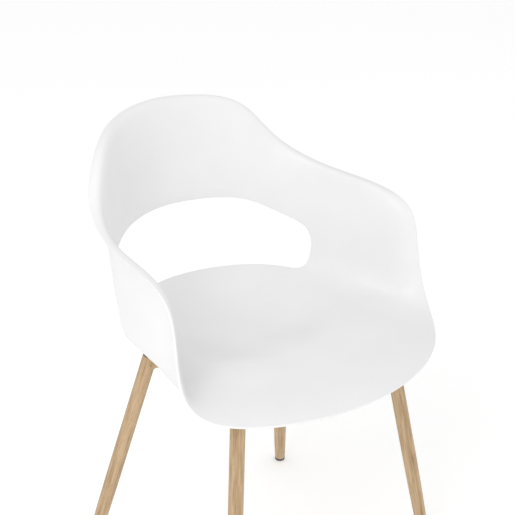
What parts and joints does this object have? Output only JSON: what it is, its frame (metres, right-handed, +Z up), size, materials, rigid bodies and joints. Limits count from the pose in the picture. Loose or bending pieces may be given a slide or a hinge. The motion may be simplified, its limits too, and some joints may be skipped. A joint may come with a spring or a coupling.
{
  "type": "dining chair",
  "caption": "Tub armchair: a thin moulded shell with flared arms and a wide opening low in the back, on splayed, tapered wood-look tube legs.",
  "frame": {"origin": "floor point under the middle of the chair's bounding box", "axes": "+Z up, -Y the way the sitter faces, so the sitter's right is -X"},
  "size_m": [0.571, 0.5658, 0.7937],
  "materials": {
    "shell_plastic": "satin white polypropylene with a fine moulded texture",
    "oak_finish": "steel tube with a satin light oak transfer finish",
    "black_nylon": "black moulded nylon",
    "black_rubber": "matt black rubber",
    "zinc_steel": "bright zinc plated steel",
    "brass": "plain machined brass",
    "grey_nylon": "grey moulded nylon"
  },
  "bodies": {
    "root": {"seat_shell": "shell_plastic", "hub_ring": "oak_finish", "hub_plug": "black_nylon", "leg_front_right": "oak_finish", "leg_front_left": "oak_finish", "leg_rear_right": "oak_finish", "leg_rear_left": "oak_finish", "leg_cap_front_right": "black_nylon", "leg_cap_front_left": "black_nylon", "leg_cap_rear_right": "black_nylon", "leg_cap_rear_left": "black_nylon", "rail_front_right": "oak_finish", "rail_front_left": "oak_finish", "rail_rear_right": "oak_finish", "rail_rear_left": "oak_finish", "glide_front_right": "grey_nylon", "glide_front_left": "grey_nylon", "glide_rear_right": "grey_nylon", "glide_rear_left": "grey_nylon", "spacer_front_right": "black_rubber", "spacer_front_left": "black_rubber", "spacer_rear_right": "black_rubber", "spacer_rear_left": "black_rubber", "washer_front_right": "zinc_steel", "washer_front_left": "zinc_steel", "washer_rear_right": "zinc_steel", "washer_rear_left": "zinc_steel", "bolt_front_right": "zinc_steel", "bolt_front_left": "zinc_steel", "bolt_rear_right": "zinc_steel", "bolt_rear_left": "zinc_steel", "insert_front_right": "brass", "insert_front_left": "brass", "insert_rear_right": "brass", "insert_rear_left": "brass"}
  },
  "joints": []
}
